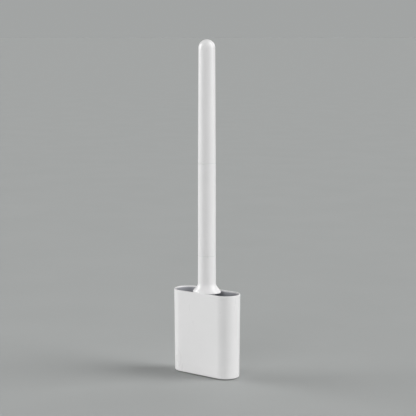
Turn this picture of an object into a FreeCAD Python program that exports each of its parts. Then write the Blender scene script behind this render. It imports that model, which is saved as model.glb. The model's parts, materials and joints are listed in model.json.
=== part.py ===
"""Slim free-standing toilet brush and holder, as separate solids, one STEP file per sub-part.

The holder is a tapered flat-oval shell with a grey lift-out liner, a vented base plate and four rubber
feet. The brush hangs in it: an oval, bell-shaped splash collar sits in the mouth on the liner's rim,
three hollow handle sections screw together over threaded plugs, and a soft paddle with moulded
bristles hangs inside the liner.

Frame: millimetres, +Z up, origin on the floor under the middle of the holder, +X along the holder's
width, -Y out of its front face.
"""

import math
import os

import FreeCAD, Part  # noqa: E401  FreeCAD has to come first

Vec = FreeCAD.Vector
UP = Vec(0, 0, 1)

# ---- driving dimensions -------------------------------------------------------------------------
rim_height = 100.0  # floor to the top of the holder
holder_width = 90.0  # outside, at the rim
holder_depth = 34.0  # outside, at the rim
holder_draft = 0.9  # how much narrower each side is at the floor
overall_height = 395.0
foot_height = 1.0  # gap between the shell and the floor
shell_wall = 1.8
liner_wall = 1.2
liner_gap = 0.4  # between liner and shell
liner_drop = 1.4  # liner rim below the shell rim

collar_half_width = 17.6  # of the splash collar's oval foot, along the holder's width
collar_half_depth = 14.6
neck_radius_low = 10.6  # outside of the handle just above the collar's flare
lower_seam = 142.5  # middle of the lower seam
upper_seam = 251.5  # middle of the upper seam
lower_seam_radius = 10.5
upper_seam_radius = 10.4
grip_end_radius = 9.75
tube_bore = 8.6

seam_gap = 0.6
seal_thickness = 0.5
seal_inset = 0.2  # how far the seal's edge lies inside the tube's surface
thread_pitch = 4.0
thread_clearance = 0.3

brush_half_width = 26.5  # of the paddle, without bristles
brush_half_thickness = 5.0
brush_bottom = 16.0
bristle_length = 6.0
edge_bristle_length = 4.5

# ---- worked-out dimensions ----------------------------------------------------------------------
end_offset = (holder_width - holder_depth) / 2  # centre of each round end
rest_gap = 0.3  # collar above the liner's rim
collar_foot = rim_height - liner_drop + rest_gap


def outer_radius(z):
    """Radius of the shell's round ends at height z."""
    return holder_depth / 2 - holder_draft * (1 - z / rim_height)


def tube_radius(z):
    """Outside radius of the handle at height z, from the collar's flare to the dome."""
    stations = [
        (flare_top, neck_radius_low),
        (lower_seam, lower_seam_radius),
        (upper_seam, upper_seam_radius),
        (overall_height - grip_end_radius, grip_end_radius),
    ]
    for (z0, r0), (z1, r1) in zip(stations, stations[1:]):
        if z <= z1:
            return r0 + (r1 - r0) * (z - z0) / (z1 - z0)
    return grip_end_radius


flare_top = rim_height + 12.0

# ---- helpers ------------------------------------------------------------------------------------


def stadium_wire(radius, z):
    """Flat oval of the given end radius, lying at height z."""
    a = end_offset
    corners = [Vec(-a, -radius, z), Vec(a, -radius, z), Vec(a, radius, z), Vec(-a, radius, z)]
    edges = [
        Part.LineSegment(corners[0], corners[1]).toShape(),
        Part.Arc(corners[1], Vec(a + radius, 0, z), corners[2]).toShape(),
        Part.LineSegment(corners[2], corners[3]).toShape(),
        Part.Arc(corners[3], Vec(-a - radius, 0, z), corners[0]).toShape(),
    ]
    return Part.Wire(edges)


def stadium_solid(radius_low, z_low, radius_high, z_high):
    """Tapered flat-oval block between two heights."""
    wires = [stadium_wire(radius_low, z_low), stadium_wire(radius_high, z_high)]
    return Part.makeLoft(wires, True, True)


def drafted_block(inset, z_low, z_high):
    """Flat-oval block that keeps a constant inset from the shell's drafted outside."""
    low, high = outer_radius(z_low) - inset, outer_radius(z_high) - inset
    return stadium_solid(low, z_low, high, z_high)


def fillet_at(solid, radius, z, outward=None):
    """Rounds the edges that lie at height z, all of them or those further out than `outward` in Y."""
    def chosen(edge):
        box = edge.BoundBox
        level = abs(box.ZMin - z) < 1e-4 and abs(box.ZMax - z) < 1e-4
        return level and (outward is None or max(box.YMax, -box.YMin) > outward)

    return solid.makeFillet(radius, [e for e in solid.Edges if chosen(e)])


def revolve(path):
    """Solid of revolution about Z from a closed profile: points (r, z), or ((r, z), (r, z)) for an arc."""
    first = path[0]
    here, edges = Vec(first[0], 0, first[1]), []
    for step in path[1:] + [first]:
        if isinstance(step[0], tuple):
            middle, end = (Vec(p[0], 0, p[1]) for p in step)
            edges.append(Part.Arc(here, middle, end).toShape())
        else:
            end = Vec(step[0], 0, step[1])
            edges.append(Part.LineSegment(here, end).toShape())
        here = end
    return Part.Face(Part.Wire(edges)).revolve(Vec(0, 0, 0), UP, 360)


def arc_to(centre, radius, angle_from, angle_to):
    """Middle and end point of an arc for revolve(), its angles in degrees from the +r direction."""
    def point(angle):
        a = math.radians(angle)
        return (centre[0] + radius * math.cos(a), centre[1] + radius * math.sin(a))

    return point((angle_from + angle_to) / 2), point(angle_to)


def export(name, shape):
    shape.exportStep(os.path.join("parts", name + ".step"))


# ---- holder -------------------------------------------------------------------------------------
flange_width = 4.0  # inward lip at the shell's foot that carries the base plate
flange_top = foot_height + 2.0
base_top = flange_top + 1.6


def make_holder_shell():
    rim_round, foot_round = 0.6, 1.5
    shell = drafted_block(0, foot_height, rim_height)
    shell = fillet_at(shell, foot_round, foot_height)
    cavity = drafted_block(shell_wall, flange_top, rim_height + 5)
    opening = drafted_block(shell_wall + flange_width, foot_height - 5, flange_top + 1)
    shell = shell.cut(cavity).cut(opening)
    shell = fillet_at(shell, rim_round, rim_height)
    # Four small ribs inside the long walls snap over the base plate's edge.
    rib_length, rib_depth, rib_height = 9.0, 0.5, 1.0
    wall_y = outer_radius(base_top) - shell_wall
    for x in (-20, 20):
        for side in (-1, 1):
            y_face = side * (wall_y + 0.2)
            y_tip = side * (wall_y - rib_depth)
            z = base_top + 0.1
            profile = [
                Vec(x, y_face, z),
                Vec(x, y_tip, z + rib_height / 2),
                Vec(x, y_face, z + rib_height),
                Vec(x, y_face, z),
            ]
            face = Part.Face(Part.makePolygon(profile))
            rib = face.extrude(Vec(rib_length, 0, 0))
            rib.translate(Vec(-rib_length / 2, 0, 0))
            shell = shell.fuse(rib)
    return shell.removeSplitter()


def make_base_plate():
    """Stepped plate that drops through the shell's foot lip; slots let air and water through."""
    edge_gap, plug_gap = 0.15, 0.2
    plate = drafted_block(shell_wall + edge_gap, flange_top, base_top)
    plug_inset = shell_wall + flange_width + plug_gap
    plate = plate.fuse(drafted_block(plug_inset, foot_height, flange_top)).removeSplitter()
    slot_width, slot_length, slot_step = 3.0, 12.0, 9.0
    for i in range(-2, 3):
        slot = Part.makeBox(slot_width, slot_length - slot_width, 10)
        slot.translate(Vec(i * slot_step - slot_width / 2, -(slot_length - slot_width) / 2, -2))
        for side in (-1, 1):
            end = Vec(i * slot_step, side * (slot_length - slot_width) / 2, -2)
            slot = slot.fuse(Part.makeCylinder(slot_width / 2, 10, end))
        plate = plate.cut(slot)
    for x, y in foot_places:
        seat = Part.makeCylinder(foot_radius + foot_seat_gap, foot_seat_depth, Vec(x, y, foot_height))
        plate = plate.cut(seat)
    return plate


foot_radius = 3.6
foot_seat_gap = 0.1
foot_seat_depth = 0.8
foot_places = [(x, y) for x in (-30.0, 30.0) for y in (-4.8, 4.8)]


def make_foot_pads():
    """Four rubber discs glued into the base plate's seats."""
    pads = []
    for x, y in foot_places:
        pad = Part.makeCylinder(foot_radius, foot_height + foot_seat_depth, Vec(x, y, 0))
        pads.append(fillet_at(pad, 0.35, 0))
    return Part.makeCompound(pads)


liner_base = base_top + 0.3
liner_floor = liner_base + 1.5
liner_rim = rim_height - liner_drop
liner_lip_height = 2.0


def make_inner_liner():
    """Grey drip cup that lifts out for emptying. A small lip closes the gap to the shell at its rim."""
    outside = shell_wall + liner_gap
    lip_gap = 0.35
    # The cup starts above the snap ribs' tips, so its foot is narrower than its walls.
    foot_inset, foot_top = outside + 1.0, liner_base + 2.5
    body = drafted_block(outside, foot_top, liner_rim)
    foot = drafted_block(foot_inset, liner_base, foot_top)
    lip = drafted_block(shell_wall + lip_gap, liner_rim - liner_lip_height, liner_rim)
    cup = body.fuse(foot).fuse(lip).removeSplitter()
    hollow = drafted_block(outside + liner_wall, liner_floor + 2.5, liner_rim + 5)
    sump = drafted_block(foot_inset + liner_wall, liner_floor, liner_floor + 3)
    cup = cup.cut(hollow.fuse(sump))
    cup = fillet_at(cup, 0.35, liner_rim)
    # Low ribs across the floor keep a dripping brush head out of the collected water.
    rib_width, rib_height = 1.4, 1.6
    for i in range(-3, 4):
        rib = Part.makeBox(rib_width, 2 * 8.0, rib_height)
        rib.translate(Vec(i * 9.0 - rib_width / 2, -8.0, liner_floor))
        cup = cup.fuse(rib)
    return cup.removeSplitter()


# ---- threads ------------------------------------------------------------------------------------
thread_core = 5.6
thread_crest = 6.8
plug_length = 10.4
spigot_length = 14.0
thread_start = 2.6  # first flank above the plug's face
thread_turns = 2.5
insert_length = 15.0
spigot_bore = 3.4


def thread_ridge(root, crest, root_width, crest_width, z_low, height):
    """Helical ridge of trapezoid section, right-handed, whose middle passes (+X) at height z_low."""
    helix = Part.makeHelix(thread_pitch, height, root)
    points = [
        Vec(root, 0, -root_width / 2),
        Vec(crest, 0, -crest_width / 2),
        Vec(crest, 0, crest_width / 2),
        Vec(root, 0, root_width / 2),
    ]
    profile = Part.makePolygon(points + points[:1])
    ridge = Part.Wire(helix).makePipeShell([profile], True, True)
    ridge.translate(Vec(0, 0, z_low))
    return ridge


def make_spigot(face_z):
    """Threaded plug: its body is glued into the tube below, its male thread stands above face_z."""
    chamfer = 0.8
    top = face_z + spigot_length
    core = revolve(
        [
            (spigot_bore, face_z - plug_length),
            (tube_bore, face_z - plug_length),
            (tube_bore, face_z),
            (thread_core, face_z),
            (thread_core, top - chamfer),
            (thread_core - chamfer, top),
            (spigot_bore, top),
        ]
    )
    sink = 0.3
    ridge = thread_ridge(
        thread_core - sink, thread_crest, 2.3, 1.0, face_z + thread_start, thread_turns * thread_pitch
    )
    return core.fuse(ridge)


def make_insert(spigot_face_z):
    """Threaded bush glued into the mouth of the tube above, in mesh with the spigot at spigot_face_z."""
    bottom = spigot_face_z + seam_gap
    bore = thread_core + thread_clearance
    lead_in = 1.2  # chamfer that lets the spigot find the thread
    bush = revolve(
        [
            (bore + lead_in, bottom),
            (tube_bore, bottom),
            (tube_bore, bottom + insert_length),
            (bore, bottom + insert_length),
            (bore, bottom + lead_in),
        ]
    )
    turns = math.ceil(insert_length / thread_pitch) + 2
    widen = 2 * thread_clearance
    groove = thread_ridge(
        thread_core - 0.3,
        thread_crest + thread_clearance,
        2.3 + widen,
        1.0 + widen,
        spigot_face_z + thread_start - thread_pitch,
        turns * thread_pitch,
    )
    return bush.cut(groove)


def make_seal(spigot_face_z, seam_radius):
    """Silicone washer between two tube ends."""
    low = spigot_face_z + (seam_gap - seal_thickness) / 2
    hole = thread_crest + 0.5
    outside = seam_radius - seal_inset
    ring = Part.makeCylinder(outside, seal_thickness, Vec(0, 0, low))
    return ring.cut(Part.makeCylinder(hole, seal_thickness, Vec(0, 0, low)))


# ---- handle -------------------------------------------------------------------------------------
lower_face = lower_seam - seam_gap / 2  # top of the collar tube
upper_face = upper_seam - seam_gap / 2  # top of the middle tube
edge_break = 0.25  # tiny chamfer at each tube end, which draws the seam's line
web_bottom = 121.0
web_top = 124.0
socket_radius = 8.0
boss_radius = 9.8
screw_radius = 1.9
lip_z = rim_height - 0.8  # widest level of the collar


def flare_opening(z):
    """How far the collar's flare has opened at height z: 0 at the round neck, 1 at the oval lip."""
    t = min(max((flare_top - z) / (flare_top - lip_z), 0.0), 1.0) ** 1.7
    return t * t * (3 - 2 * t)


def oval_loft(heights, inset=0.0):
    """Solid through the flare's sections at the given heights, set in from its outside."""
    wires = []
    for z in heights:
        opened = flare_opening(z)
        a = neck_radius_low + (collar_half_width - neck_radius_low) * opened - inset
        b = neck_radius_low + (collar_half_depth - neck_radius_low) * opened - inset
        if a - b < 1e-6:
            curve = Part.Circle(Vec(0, 0, z), UP, a)
        else:
            curve = Part.Ellipse(Vec(0, 0, z), a, b)
        wires.append(Part.Wire(curve.toShape()))
    return Part.makeLoft(wires, True, False)


def even_heights(low, high, step):
    """Heights from low to high, about `step` apart."""
    count = round((high - low) / step)
    return [low + (high - low) * i / count for i in range(count + 1)]


def make_collar_tube():
    """Lower handle section: bell-shaped splash collar, hollow skirt under it, socket for the neck."""
    bell = oval_loft(even_heights(collar_foot, flare_top, 1.1))
    tube = revolve(
        [
            (0, flare_top),
            (neck_radius_low, flare_top),
            (tube_radius(lower_face - edge_break), lower_face - edge_break),
            (tube_radius(lower_face) - edge_break, lower_face),
            (0, lower_face),
        ]
    )
    solid = bell.fuse(tube)
    # Inside of the skirt, leaving the boss that holds the neck.
    skirt_wall = 2.2
    skirt = oval_loft(even_heights(collar_foot - 1.0, rim_height + 4.6, 1.0), skirt_wall)
    skirt = skirt.cut(Part.makeCylinder(boss_radius, 40, Vec(0, 0, rim_height - 10)))
    solid = solid.cut(skirt)
    hollow = Part.makeCylinder(tube_bore, lower_face + 1 - web_top, Vec(0, 0, web_top))
    socket = Part.makeCylinder(socket_radius, web_bottom - collar_foot + 1, Vec(0, 0, collar_foot - 1))
    screw_hole = Part.makeCylinder(screw_radius + 0.3, 10, Vec(0, 0, web_bottom - 3))
    for void in (hollow, socket, screw_hole):
        solid = solid.cut(void)
    return solid


def make_mid_tube():
    low, high = lower_face + seam_gap, upper_face
    return revolve(
        [
            (tube_bore, low),
            (tube_radius(low) - edge_break, low),
            (tube_radius(low + edge_break), low + edge_break),
            (tube_radius(high - edge_break), high - edge_break),
            (tube_radius(high) - edge_break, high),
            (tube_bore, high),
        ]
    )


def make_grip_tube():
    """Upper handle section, closed by a dome."""
    low = upper_face + seam_gap
    dome_z = overall_height - grip_end_radius
    wall = upper_seam_radius - tube_bore
    bore_end = low + insert_length + 1.0
    inner_dome = grip_end_radius - wall
    return revolve(
        [
            (tube_bore, low),
            (tube_radius(low) - edge_break, low),
            (tube_radius(low + edge_break), low + edge_break),
            (grip_end_radius, dome_z),
            arc_to((0, dome_z), grip_end_radius, 0, 90),
            (0, dome_z + inner_dome),
            arc_to((0, dome_z), inner_dome, 90, 0),
            (tube_bore, bore_end),
        ]
    )


# ---- brush head ---------------------------------------------------------------------------------
neck_fit = 0.1
neck_top = web_bottom - 0.1
neck_foot = 92.0
tongue_bottom = 50.0
tongue_half_width = 11.0
tongue_half_thickness = 1.5
tongue_shoulder = 77.0
shoulder_z = 66.0
pilot_depth = 16.0
neck_cuff_top = collar_foot - 0.5  # the silicone cuff ends just under the collar's boss


def make_head_core():
    """Stiff plug and tongue that the soft paddle is moulded round."""
    neck = Part.makeCylinder(socket_radius - neck_fit, neck_top - neck_foot, Vec(0, 0, neck_foot))
    neck = fillet_at(neck, 0.8, neck_top)
    tongue = Part.makeBox(
        2 * tongue_half_width,
        2 * tongue_half_thickness,
        neck_foot + 2 - tongue_bottom,
        Vec(-tongue_half_width, -tongue_half_thickness, tongue_bottom),
    )
    corners = [
        e
        for e in tongue.Edges
        if abs(e.BoundBox.ZMax - tongue_bottom) < 1e-6 and e.BoundBox.YLength > 1
    ]
    tongue = tongue.makeFillet(5.0, corners)
    # The tongue is no wider than the neck above the paddle's shoulders, where the silicone narrows.
    trim = Part.makeBox(60, 20, 60, Vec(-30, -10, tongue_shoulder))
    keep = Part.makeCylinder(socket_radius - neck_fit, 60, Vec(0, 0, tongue_shoulder))
    tongue = tongue.cut(trim.cut(keep))
    core = neck.fuse(tongue)
    for z in (56.0, 64.0, 72.0):
        for x in (-5.0, 5.0):
            hole = Part.makeCylinder(1.8, 20, Vec(x, -10, z), Vec(0, 1, 0))
            core = core.cut(hole)
    pilot = Part.makeCylinder(screw_radius, pilot_depth, Vec(0, 0, neck_top - pilot_depth))
    return core.cut(pilot).removeSplitter()


def make_head_screw():
    """Pan-head screw through the collar tube's web into the head's neck."""
    head_radius, head_height, tip = 3.6, 2.2, 1.4
    end = neck_top - pilot_depth + 1.0
    screw = revolve(
        [
            (0, end),
            (screw_radius, end + tip),
            (screw_radius, web_top),
            (head_radius, web_top),
            ((head_radius * 0.8, web_top + head_height * 0.72), (0, web_top + head_height)),
        ]
    )
    for length, width in ((4.0, 0.9), (0.9, 4.0)):
        recess = Part.makeBox(length, width, 2, Vec(-length / 2, -width / 2, web_top + 1.0))
        screw = screw.cut(recess)
    return screw


def paddle_outline():
    """Half widths of the paddle as a closed wire in the XZ plane: neck, shoulders, round foot."""
    w, top, foot_corner = brush_half_width, neck_cuff_top, 20.0
    neck, neck_low = boss_radius - 0.4, 88.0
    c = math.cos(math.radians(45))
    straight_low = brush_bottom + foot_corner
    right = [
        Part.LineSegment(Vec(neck, 0, top), Vec(neck, 0, neck_low)),
        Part.BezierCurve(),
        Part.LineSegment(Vec(w, 0, shoulder_z), Vec(w, 0, straight_low)),
        Part.Arc(
            Vec(w, 0, straight_low),
            Vec(w - foot_corner * (1 - c), 0, straight_low - foot_corner * c),
            Vec(w - foot_corner, 0, brush_bottom),
        ),
        Part.LineSegment(Vec(w - foot_corner, 0, brush_bottom), Vec(foot_corner - w, 0, brush_bottom)),
    ]
    right[1].setPoles(
        [Vec(neck, 0, neck_low), Vec(neck, 0, neck_low - 11), Vec(w, 0, shoulder_z + 15), Vec(w, 0, shoulder_z)]
    )
    edges = [g.toShape() for g in right]
    mirrored = [e.mirror(Vec(0, 0, 0), Vec(1, 0, 0)) for e in edges[:4]]
    lid = Part.LineSegment(Vec(-neck, 0, top), Vec(neck, 0, top)).toShape()
    return Part.Wire(Part.__sortEdges__(edges + mirrored + [lid]))


def bristle(length, base, direction, r_base=1.35, r_tip=0.85):
    """One tapered bristle with a round tip, its root sunk into the paddle."""
    sink = 0.6
    shape = revolve(
        [
            (0, -sink),
            (r_base, -sink),
            (r_tip, length - r_tip),
            arc_to((0, length - r_tip), r_tip, 0, 90),
        ]
    )
    turn = FreeCAD.Rotation(UP, direction)
    shape.Placement = FreeCAD.Placement(base, turn)
    return shape


def face_bristle_places():
    """Hexagonal grid of points on the paddle's flat face, kept inside its outline."""
    step_x, step_z, margin = 6.4, 5.6, 4.6
    corner = 20.0
    places = []
    row = 0
    z = brush_bottom + margin + 0.4
    while z < shoulder_z + 8:
        shift = step_x / 2 if row % 2 else 0.0
        for i in range(-5, 6):
            x = i * step_x + shift
            half = brush_half_width - margin
            if z < brush_bottom + corner:
                drop = brush_bottom + corner - z
                half = brush_half_width - corner + math.sqrt(max((corner - margin) ** 2 - drop**2, 0))
            if z > shoulder_z:
                half -= (z - shoulder_z) * 0.9
            if abs(x) <= half + 1e-6:
                places.append((x, z))
        z += step_z
        row += 1
    return places


def edge_bristle_places():
    """Points and outward directions round the paddle's side and foot, evenly spaced."""
    corner, step = 20.0, 6.0
    straight_low = brush_bottom + corner
    quarter = math.pi / 2 * corner
    side = shoulder_z - straight_low
    flat = brush_half_width - corner
    total = side + quarter + flat
    count = round(total / step)
    found = []
    for i in range(count + 1):
        s = i * total / count
        if s <= side:
            x, z, a = brush_half_width, shoulder_z - s, 0.0
        elif s <= side + quarter:
            a = (s - side) / corner
            x = brush_half_width - corner + corner * math.cos(a)
            z = straight_low - corner * math.sin(a)
        else:
            a = math.pi / 2
            x, z = flat - (s - side - quarter), brush_bottom
        for mirror in (1, -1) if x > 1e-6 else (1,):
            found.append((mirror * x, z, mirror * math.cos(a), -math.sin(a)))
    return found


def make_brush_head(core):
    """Soft paddle moulded over the core, with its bristles in one piece with it."""
    slab = Part.Face(paddle_outline()).extrude(Vec(0, 2 * brush_half_thickness, 0))
    slab.translate(Vec(0, -brush_half_thickness, 0))
    rims = [
        e
        for e in slab.Edges
        if e.BoundBox.YLength < 1e-6 and e.BoundBox.ZMax < neck_cuff_top - 0.1
    ]
    slab = slab.makeFillet(3.6, rims)
    neck = Part.makeCylinder(boss_radius - 0.4, 12.4, Vec(0, 0, neck_cuff_top - 12.4))
    neck = neck.fuse(Part.makeCone(6.0, boss_radius - 0.4, 8.0, Vec(0, 0, neck_cuff_top - 20.4)))
    pad = slab.fuse(neck)
    hairs = []
    for x, z in face_bristle_places():
        for side in (-1, 1):
            base = Vec(x, side * brush_half_thickness, z)
            hairs.append(bristle(bristle_length, base, Vec(0, side, 0)))
    for x, z, dx, dz in edge_bristle_places():
        for y in (-2.0, 2.0):
            inset = 0.6  # the edge is rounded, so the roots start a little inside it
            base = Vec(x - dx * inset, y, z - dz * inset)
            hairs.append(bristle(edge_bristle_length + inset, base, Vec(dx, 0, dz), 1.2, 0.8))
    pad = pad.multiFuse(hairs)
    return pad.cut(core)


def main():
    os.makedirs("parts", exist_ok=True)
    export("holder_shell", make_holder_shell())
    export("base_plate", make_base_plate())
    export("foot_pads", make_foot_pads())
    export("inner_liner", make_inner_liner())
    export("collar_tube", make_collar_tube())
    export("lower_spigot", make_spigot(lower_face))
    export("lower_seal", make_seal(lower_face, lower_seam_radius))
    export("mid_insert", make_insert(lower_face))
    export("mid_tube", make_mid_tube())
    export("upper_spigot", make_spigot(upper_face))
    export("upper_seal", make_seal(upper_face, upper_seam_radius))
    export("grip_insert", make_insert(upper_face))
    export("grip_tube", make_grip_tube())
    core = make_head_core()
    export("head_core", core)
    export("head_screw", make_head_screw())
    export("brush_head", make_brush_head(core))


main()
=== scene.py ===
import json
import math
import random

import bmesh
import bpy
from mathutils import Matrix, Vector


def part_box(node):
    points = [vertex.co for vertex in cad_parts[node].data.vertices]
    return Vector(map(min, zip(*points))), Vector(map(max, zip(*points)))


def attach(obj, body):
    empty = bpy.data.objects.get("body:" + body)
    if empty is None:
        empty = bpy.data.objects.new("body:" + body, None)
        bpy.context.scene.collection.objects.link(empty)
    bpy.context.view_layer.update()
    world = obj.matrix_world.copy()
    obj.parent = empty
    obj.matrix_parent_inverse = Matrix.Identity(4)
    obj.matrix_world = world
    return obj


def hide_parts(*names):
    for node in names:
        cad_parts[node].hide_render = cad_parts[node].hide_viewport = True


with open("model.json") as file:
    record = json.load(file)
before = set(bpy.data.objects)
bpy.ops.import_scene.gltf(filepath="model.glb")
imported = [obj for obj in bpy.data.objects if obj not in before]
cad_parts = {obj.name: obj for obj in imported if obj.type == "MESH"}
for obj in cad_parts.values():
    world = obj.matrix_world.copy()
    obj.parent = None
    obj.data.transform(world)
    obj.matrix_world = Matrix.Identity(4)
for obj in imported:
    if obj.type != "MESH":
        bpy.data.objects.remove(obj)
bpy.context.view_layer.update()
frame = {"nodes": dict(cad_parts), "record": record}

MM = 0.001

# ---- mesh helpers -------------------------------------------------------------------------------


def add_mesh(name, bm, smooth=True):
    """Turns a bmesh into an object in the scene."""
    bmesh.ops.recalc_face_normals(bm, faces=bm.faces)
    mesh = bpy.data.meshes.new(name)
    bm.to_mesh(mesh)
    bm.free()
    for face in mesh.polygons:
        face.use_smooth = smooth
    obj = bpy.data.objects.new(name, mesh)
    bpy.context.scene.collection.objects.link(obj)
    return obj


def bridge(bm, low, high):
    """Quads between two rings of the same length."""
    n = len(low)
    for i in range(n):
        bm.faces.new((low[i], low[(i + 1) % n], high[(i + 1) % n], high[i]))


def smoothstep(a, b, x):
    t = min(max((x - a) / (b - a), 0.0), 1.0)
    return t * t * (3 - 2 * t)


# ---- material helpers ---------------------------------------------------------------------------


class Look:
    """A Principled material with a few procedural layers in object space."""

    def __init__(self, name, **sockets):
        self.material = bpy.data.materials.new(name)
        self.material.use_nodes = True
        self.tree = self.material.node_tree
        self.tree.nodes.clear()
        output = self.node("OutputMaterial")
        self.shader = self.node("BsdfPrincipled")
        self.tree.links.new(self.shader.outputs["BSDF"], output.inputs["Surface"])
        self.coords = self.node("TexCoord").outputs["Object"]
        self.bump_end = None
        for key, value in sockets.items():
            socket = key.replace("_", " ").title().replace("Ior", "IOR")
            self.shader.inputs[socket].default_value = value

    def node(self, kind, **values):
        made = self.tree.nodes.new("ShaderNode" + kind)
        for key, value in values.items():
            setattr(made, key, value)
        return made

    def link(self, out, into):
        self.tree.links.new(out, into)

    def noise(self, scale, detail=3.0, rough=0.5, stretch=(1, 1, 1), distortion=0.0):
        """Noise of `scale` features a metre, stretched along an axis where stretch is under 1."""
        mapping = self.node("Mapping")
        mapping.inputs["Scale"].default_value = stretch
        self.link(self.coords, mapping.inputs["Vector"])
        noise = self.node("TexNoise")
        noise.inputs["Scale"].default_value = scale
        noise.inputs["Detail"].default_value = detail
        noise.inputs["Roughness"].default_value = rough
        noise.inputs["Distortion"].default_value = distortion
        self.link(mapping.outputs["Vector"], noise.inputs["Vector"])
        return noise.outputs["Fac"]

    def ramp(self, fac, stops):
        """Colour ramp; each stop is (position, colour), a colour being a grey or an (r, g, b)."""
        ramp = self.node("ValToRGB")
        points = ramp.color_ramp.elements
        while len(points) < len(stops):
            points.new(0.5)
        for point, (position, colour) in zip(points, stops):
            point.position = position
            rgb = colour if isinstance(colour, tuple) else (colour,) * 3
            point.color = (*rgb, 1.0)
        self.link(fac, ramp.inputs["Fac"])
        return ramp.outputs["Color"]

    def span(self, value, low, high, to_low, to_high):
        mapped = self.node("MapRange")
        ends = {"From Min": low, "From Max": high, "To Min": to_low, "To Max": to_high}
        for key, number in ends.items():
            mapped.inputs[key].default_value = number
        self.link(value, mapped.inputs["Value"])
        return mapped.outputs["Result"]

    def mix(self, a, b, fac, mode="MIX"):
        mixer = self.node("Mix", data_type="RGBA", blend_type=mode)
        factor, first, second = (mixer.inputs[i] for i in (0, 6, 7))
        if isinstance(fac, (int, float)):
            factor.default_value = fac
        else:
            self.link(fac, factor)
        for socket, value in ((first, a), (second, b)):
            if isinstance(value, tuple):
                socket.default_value = (*value, 1.0)
            else:
                self.link(value, socket)
        return mixer.outputs[2]

    def bump(self, height, distance, strength=1.0):
        """Adds one more bump layer of the given depth in metres."""
        bump = self.node("Bump")
        bump.inputs["Strength"].default_value = strength
        bump.inputs["Distance"].default_value = distance
        self.link(height, bump.inputs["Height"])
        if self.bump_end is not None:
            self.link(self.bump_end, bump.inputs["Normal"])
        self.bump_end = bump.outputs["Normal"]
        self.link(self.bump_end, self.shader.inputs["Normal"])

    def set(self, name, output):
        self.link(output, self.shader.inputs[name])


def white_plastic(name, tone, roughness, coat=0.0):
    """Moulded white plastic: faint mottling, handling smudges in the gloss and fine orange peel."""
    look = Look(name, ior=1.47, coat_weight=coat, coat_roughness=0.12)
    light = tuple(min(c * 1.012, 1.0) for c in tone)
    dark = tuple(c * 0.985 for c in tone)
    look.set("Base Color", look.ramp(look.noise(28, 4), [(0.3, dark), (0.7, light)]))
    smudges = look.noise(46, 5, 0.62, stretch=(1, 1, 0.35), distortion=0.6)
    look.set("Roughness", look.span(smudges, 0.3, 0.75, roughness - 0.035, roughness + 0.05))
    look.bump(look.noise(850, 2), 0.000012)
    look.bump(look.noise(95, 2), 0.00001)
    return look.material


def matte_moulded(name, tone, roughness, spread=0.04, grain=1400, depth=0.00003):
    """Lightly spark-textured moulded plastic or rubber."""
    look = Look(name, ior=1.46)
    light = tuple(min(c * (1 + spread), 1.0) for c in tone)
    dark = tuple(c * (1 - spread) for c in tone)
    look.set("Base Color", look.ramp(look.noise(60, 5, 0.6), [(0.3, dark), (0.7, light)]))
    look.set("Roughness", look.span(look.noise(240, 4), 0.3, 0.7, roughness - 0.06, roughness + 0.06))
    look.bump(look.noise(grain, 3), depth)
    return look.material


def liner_plastic():
    """Grey liner with dried water marks that gather towards its floor."""
    look = Look("liner_grey", ior=1.46)
    body = look.ramp(look.noise(52, 5, 0.6), [(0.3, (0.395, 0.400, 0.432)), (0.7, (0.430, 0.435, 0.465))])
    split = look.node("SeparateXYZ")
    look.link(look.coords, split.inputs["Vector"])
    depth = look.span(split.outputs["Z"], 0.004, 0.070, 1.0, 0.0)
    runs = look.ramp(look.noise(120, 4, 0.6, stretch=(1, 1, 0.12)), [(0.52, 0.0), (0.68, 1.0)])
    marks = look.mix((0, 0, 0), runs, depth)
    look.set("Base Color", look.mix(body, (0.53, 0.53, 0.535), look.span(marks, 0, 1, 0, 0.5)))
    look.set("Roughness", look.span(look.noise(130, 4), 0.3, 0.7, 0.42, 0.56))
    look.bump(look.noise(1300, 2), 0.00002)
    return look.material


def silicone(name, tone, sub=0.12, roughness=0.5):
    """Soft silicone: slightly see-through, with a dusty sheen and a fine moulded skin."""
    look = Look(
        name, ior=1.43, subsurface_weight=sub, subsurface_scale=0.002, sheen_weight=0.25, sheen_roughness=0.5
    )
    light = tuple(min(c * 1.05, 1.0) for c in tone)
    dark = tuple(c * 0.94 for c in tone)
    look.set("Base Color", look.ramp(look.noise(70, 4, 0.55), [(0.32, dark), (0.7, light)]))
    look.set("Roughness", look.span(look.noise(300, 3), 0.3, 0.7, roughness - 0.06, roughness + 0.08))
    look.bump(look.noise(1800, 2), 0.00002)
    return look.material


def steel():
    """Zinc-plated screw steel with faint turning marks."""
    look = Look("screw_steel", metallic=1.0, anisotropic=0.4)
    look.set("Base Color", look.ramp(look.noise(300, 3), [(0.3, 0.55), (0.7, 0.66)]))
    look.set("Roughness", look.span(look.noise(900, 2, stretch=(1, 1, 6)), 0.3, 0.7, 0.24, 0.36))
    look.bump(look.noise(2500, 2, stretch=(1, 1, 8)), 0.00001)
    return look.material


def paint(obj, material):
    """Puts one material in all of an object's material slots."""
    if not obj.data.materials:
        obj.data.materials.append(material)
    for material_slot in obj.material_slots:
        material_slot.link = "OBJECT"
        material_slot.material = material


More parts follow.
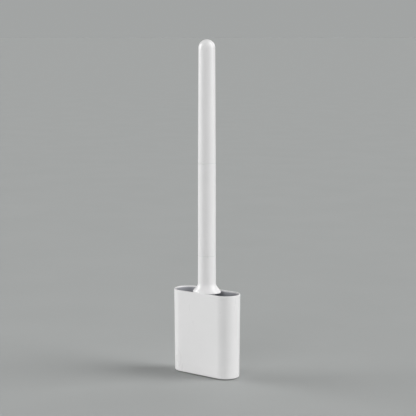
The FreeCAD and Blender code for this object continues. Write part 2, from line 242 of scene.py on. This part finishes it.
WHITE = (0.886, 0.878, 0.880)
shell_white = white_plastic("shell_white", WHITE, 0.30, coat=0.15)
handle_white = white_plastic("handle_white", WHITE, 0.31, coat=0.1)
LOOKS = {
    "shell_white": shell_white,
    "handle_white": handle_white,
    "base_white": matte_moulded("base_white", (0.70, 0.70, 0.69), 0.5, 0.03),
    "thread_white": matte_moulded("thread_white", (0.74, 0.74, 0.73), 0.42, 0.02),
    "core_plastic": matte_moulded("core_plastic", (0.70, 0.70, 0.69), 0.45, 0.03),
    "foot_rubber": matte_moulded("foot_rubber", (0.045, 0.045, 0.048), 0.72, 0.15, 900, 0.00006),
    "liner_grey": liner_plastic(),
    "seal_silicone": silicone("seal_silicone", (0.86, 0.86, 0.855), 0.1, 0.45),
    "head_silicone": silicone("head_silicone", (0.50, 0.51, 0.53)),
    "screw_steel": steel(),
}
for part in frame["record"]["subparts"]:
    paint(frame["nodes"][part["node"]], LOOKS[part["material_slot"]])

# ---- brush head ---------------------------------------------------------------------------------
# The soft paddle is lofted through oval rings from its round foot up to the neck, and the bristles
# stand on its faces and round its edge in one mesh with it.
HEAD_LOW, HEAD_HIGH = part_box("brush_head")
EDGE_BRISTLE = 4.5 * MM
HALF_WIDTH = HEAD_HIGH[0] - EDGE_BRISTLE  # paddle without its edge bristles
HALF_THICK = HEAD_HIGH[1] - 6.0 * MM
FOOT_Z = HEAD_LOW[2] + EDGE_BRISTLE
TOP_Z = HEAD_HIGH[2]
FOOT_CORNER = 20.0 * MM
SHOULDER_Z = 66.0 * MM
NECK_Z = 88.0 * MM
NECK_RADIUS = 9.4 * MM
NECK_BORE = 7.9 * MM  # of the silicone round the stiff neck
BRISTLE_SIDES = 8
FACE_BRISTLE = (0.92 * MM, 0.55 * MM)  # radius at the root and at the tip
EDGE_BRISTLE_RADII = (0.85 * MM, 0.5 * MM)
FACE_STEP_X, FACE_STEP_Z, FACE_MARGIN = 4.7 * MM, 4.1 * MM, 3.0 * MM
EDGE_STEP = 4.3 * MM


def paddle_width(z):
    """Half width of the paddle at height z."""
    if z < FOOT_Z + FOOT_CORNER:
        drop = FOOT_Z + FOOT_CORNER - z
        return HALF_WIDTH - FOOT_CORNER + math.sqrt(max(FOOT_CORNER**2 - drop**2, 0.0))
    if z <= SHOULDER_Z:
        return HALF_WIDTH
    t = smoothstep(SHOULDER_Z, NECK_Z, z)
    return HALF_WIDTH + (NECK_RADIUS - HALF_WIDTH) * t


def paddle_thickness(z):
    """Half thickness of the paddle at height z: thin at the foot, round at the neck."""
    foot = 0.62 + 0.38 * math.sqrt(smoothstep(FOOT_Z - 1 * MM, FOOT_Z + 9 * MM, z))
    t = smoothstep(SHOULDER_Z + 6 * MM, NECK_Z + 2 * MM, z)
    return HALF_THICK * foot + (NECK_RADIUS - HALF_THICK) * t


def paddle_surface(x, z):
    """How far out in Y the paddle's face lies at (x, z)."""
    w, t = paddle_width(z), paddle_thickness(z)
    power = 5.0 - 3.0 * smoothstep(SHOULDER_Z, NECK_Z, z)
    u = min(abs(x) / w, 0.999)
    return t * (1 - u**power) ** (1 / power)


def oval_ring(bm, z, count=64, shrink=1.0):
    w, t = paddle_width(z) * shrink, paddle_thickness(z) * shrink
    power = 5.0 - 3.0 * smoothstep(SHOULDER_Z, NECK_Z, z)
    ring = []
    for i in range(count):
        a = 2 * math.pi * i / count
        c, s = math.cos(a), math.sin(a)
        scale = (abs(c) ** power + abs(s) ** power) ** (-1 / power)
        # Even spacing in angle bunches points at the corners, which is where the curvature is.
        ring.append(bm.verts.new((w * c * scale, t * s * scale, z)))
    return ring


# Along a bristle from its root to its tip: (part of the length, width over the root's radius).
BRISTLE_STATIONS = [
    (-0.08, 1.75),
    (0.02, 1.22),
    (0.14, 1.0),
    (0.45, 0.86),
    (0.75, 0.7),
    (0.92, 0.58),
    (0.98, 0.36),
]


def bristle(bm, base, direction, length, radii, droop):
    """One tapered, slightly bent filament with a domed tip, its root flared into the paddle."""
    direction = direction.normalized()
    side = direction.cross(Vector((0, 0, 1)))
    if side.length <= 0.2:
        side = direction.cross(Vector((1, 0, 0)))
    side = side.normalized()
    over = side.cross(direction).normalized()
    r_base, r_tip = radii
    sides = BRISTLE_SIDES
    rings = []
    for along, width in BRISTLE_STATIONS:
        bend = droop * max(along, 0.0) ** 2 * length
        centre = base + direction * (along * length) + Vector((bend.x, bend.y, bend.z))
        radius = r_base * width if along < 0.9 else r_tip * width / 0.58
        rings.append(
            [
                bm.verts.new(
                    centre
                    + side * (radius * math.cos(2 * math.pi * k / sides))
                    + over * (radius * math.sin(2 * math.pi * k / sides))
                )
                for k in range(sides)
            ]
        )
    for low, high in zip(rings, rings[1:]):
        bridge(bm, low, high)
    tip = bm.verts.new(base + direction * length + droop * length)
    for k in range(sides):
        bm.faces.new((rings[-1][k], rings[-1][(k + 1) % sides], tip))


def make_head():
    rng = random.Random(7)
    body = bmesh.new()
    zs = [FOOT_Z + FOOT_CORNER * (1 - math.cos(math.pi / 2 * i / 12)) for i in range(13)]
    zs += [zs[-1] + (SHOULDER_Z - zs[-1]) * i / 8 for i in range(1, 9)]
    zs += [SHOULDER_Z + (NECK_Z - SHOULDER_Z) * i / 10 for i in range(1, 11)]
    zs += [NECK_Z + (TOP_Z - NECK_Z) * f for f in (0.35, 0.7, 0.94, 1.0)]
    rings = [oval_ring(body, z) for z in zs]
    for low, high in zip(rings, rings[1:]):
        bridge(body, low, high)
    # The foot closes over a narrower ring, and the top opens round the stiff neck.
    foot = oval_ring(body, FOOT_Z, shrink=0.55)
    bridge(body, foot, rings[0])
    body.faces.new(foot)
    rim = []
    for v in rings[-1]:
        inward = NECK_BORE / v.co.xy.length
        rim.append(body.verts.new((v.co.x * inward, v.co.y * inward, TOP_Z)))
    throat = [body.verts.new((v.co.x, v.co.y, NECK_Z + 2 * MM)) for v in rim]
    bridge(body, rings[-1], rim)
    bridge(body, rim, throat)
    body.faces.new(throat)

    reach_y = HEAD_HIGH[1]
    z, row = FOOT_Z + FACE_MARGIN + 0.5 * MM, 0
    while z < SHOULDER_Z + 13 * MM:
        half = paddle_width(z) - FACE_MARGIN
        shift = FACE_STEP_X / 2 if row % 2 else 0.0
        for i in range(-8, 9):
            x = i * FACE_STEP_X + shift
            if abs(x) > half:
                continue
            for face in (-1, 1):
                base = Vector((x, face * (paddle_surface(x, z) - 0.2 * MM), z))
                lean = Vector((rng.uniform(-0.05, 0.05), face, rng.uniform(-0.05, 0.05)))
                length = min(reach_y - abs(base.y), 7.2 * MM) * rng.uniform(0.94, 0.985)
                droop = Vector((rng.uniform(-0.05, 0.05), 0, rng.uniform(-0.09, 0.02)))
                bristle(body, base, lean, length, FACE_BRISTLE, droop)
        z += FACE_STEP_Z
        row += 1

    corner, straight = FOOT_CORNER, FOOT_Z + FOOT_CORNER
    side = SHOULDER_Z + 2 * MM - straight
    quarter, flat = math.pi / 2 * corner, HALF_WIDTH - corner
    total = side + quarter + flat
    count = round(total / EDGE_STEP)
    for i in range(count + 1):
        s = i * total / count
        if s <= side:
            x, z, a = HALF_WIDTH, SHOULDER_Z + 2 * MM - s, 0.0
        elif s <= side + quarter:
            a = (s - side) / corner
            x, z = HALF_WIDTH - corner + corner * math.cos(a), straight - corner * math.sin(a)
        else:
            x, z, a = flat - (s - side - quarter), FOOT_Z, math.pi / 2
        for mirror in (1, -1) if x > 0.1 * MM else (1,):
            for y in ((-2.7, 0.0, 2.7) if i % 2 else (-1.4, 1.4)):
                out = Vector((mirror * math.cos(a), 0, -math.sin(a)))
                base = Vector((mirror * x, y * MM, z)) - out * (0.35 + 0.10 * y * y) * MM
                lean = out + Vector((0, rng.uniform(-0.04, 0.04) + 0.03 * y, 0))
                length = EDGE_BRISTLE * rng.uniform(0.93, 0.98)
                droop = Vector((0, rng.uniform(-0.04, 0.04), rng.uniform(-0.05, 0.0) if a < 1.2 else 0.0))
                bristle(body, base, lean, length, EDGE_BRISTLE_RADII, droop)
    return add_mesh("silicone_head", body)


head = make_head()
paint(head, LOOKS["head_silicone"])
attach(head, "brush")
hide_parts("brush_head")

# ---- stage --------------------------------------------------------------------------------------


def make_floor():
    """A round studio floor, wide enough that its edge lies at the horizon."""
    bm = bmesh.new()
    count, first_radius, growth, ring_count = 96, 0.3, 1.9, 10
    rings = []
    for i in range(ring_count):
        r = first_radius * growth**i
        angles = [2 * math.pi * k / count for k in range(count)]
        rings.append([bm.verts.new((r * math.cos(a), r * math.sin(a), 0.0)) for a in angles])
    bm.faces.new(rings[0])
    for low, high in zip(rings, rings[1:]):
        bridge(bm, low, high)
    return add_mesh("studio_floor", bm)


def floor_material():
    """Matte studio paper with a faint tooth."""
    look = Look("floor_paper", roughness=1.0, specular_ior_level=0.0)
    low, high = (tuple(c * f for c in FLOOR_TONE) for f in (0.99, 1.01))
    look.set("Base Color", look.ramp(look.noise(7.0, 4, 0.5), [(0.35, low), (0.65, high)]))
    look.bump(look.noise(700, 2), 0.00003)
    return look.material


FLOOR_TONE = (0.437, 0.448, 0.444)
floor = make_floor()
paint(floor, floor_material())

# ---- light --------------------------------------------------------------------------------------
CAMERA_AZIMUTH = math.radians(37.9)


def studio_light(name, turn, elevation, spread, strength):
    """Distant soft light, `turn` degrees to the right of the camera as the object sees it."""
    data = bpy.data.lights.new(name, "SUN")
    data.angle = math.radians(spread)
    data.energy = strength
    light = bpy.data.objects.new(name, data)
    a, e = CAMERA_AZIMUTH + math.radians(turn), math.radians(elevation)
    towards = Vector((math.sin(a) * math.cos(e), -math.cos(a) * math.cos(e), math.sin(e)))
    light.location = towards * 2.5
    light.rotation_euler = towards.to_track_quat("Z", "Y").to_euler()
    bpy.context.scene.collection.objects.link(light)
    return light


SPREAD = 44  # of every lamp but one; it and the angles below are in degrees
studio_light("left_wall", -105, 15, SPREAD, 2.15)
studio_light("right_wall", 78, 17, SPREAD, 1.65)
studio_light("right_high", 88, 52, 30, 1.0)
studio_light("front", -15, 14, SPREAD, 0.85)
studio_light("rear_right", 150, 25, SPREAD, 0.45)
studio_light("front_left", -45, 14, SPREAD, 0.45)

AMBIENT = 0.25  # part of the backdrop's brightness that lights the object
world = bpy.data.worlds.new("studio")
bpy.context.scene.world = world
world.use_nodes = True
background = world.node_tree.nodes.get("Background") or world.node_tree.nodes.new("ShaderNodeBackground")
background.inputs["Color"].default_value = (0.362, 0.372, 0.369, 1.0)
# The backdrop looks as bright as the floor, but gives the object only a little of its light.
path = world.node_tree.nodes.new("ShaderNodeLightPath")
level = world.node_tree.nodes.new("ShaderNodeMapRange")
level.inputs["To Min"].default_value = AMBIENT
level.inputs["To Max"].default_value = 1.0
world.node_tree.links.new(path.outputs["Is Camera Ray"], level.inputs["Value"])
world.node_tree.links.new(level.outputs["Result"], background.inputs["Strength"])

# ---- camera -------------------------------------------------------------------------------------
CAMERA_DISTANCE = 1.510  # along the floor
CAMERA_HEIGHT = 0.403
CAMERA_PITCH = math.radians(7.7)
CAMERA_PAN = math.radians(-0.05)
LENS = 112.5

camera_data = bpy.data.cameras.new("camera")
camera_data.sensor_width = 36.0
camera_data.lens = LENS
camera_data.clip_start, camera_data.clip_end = 0.02, 400.0
camera = bpy.data.objects.new("camera", camera_data)
camera.location = (
    math.sin(CAMERA_AZIMUTH) * CAMERA_DISTANCE,
    -math.cos(CAMERA_AZIMUTH) * CAMERA_DISTANCE,
    CAMERA_HEIGHT,
)
camera.rotation_euler = (math.pi / 2 - CAMERA_PITCH, 0.0, CAMERA_AZIMUTH + CAMERA_PAN)
bpy.context.scene.collection.objects.link(camera)
bpy.context.scene.camera = camera
bpy.context.scene.view_settings.view_transform = "Standard"
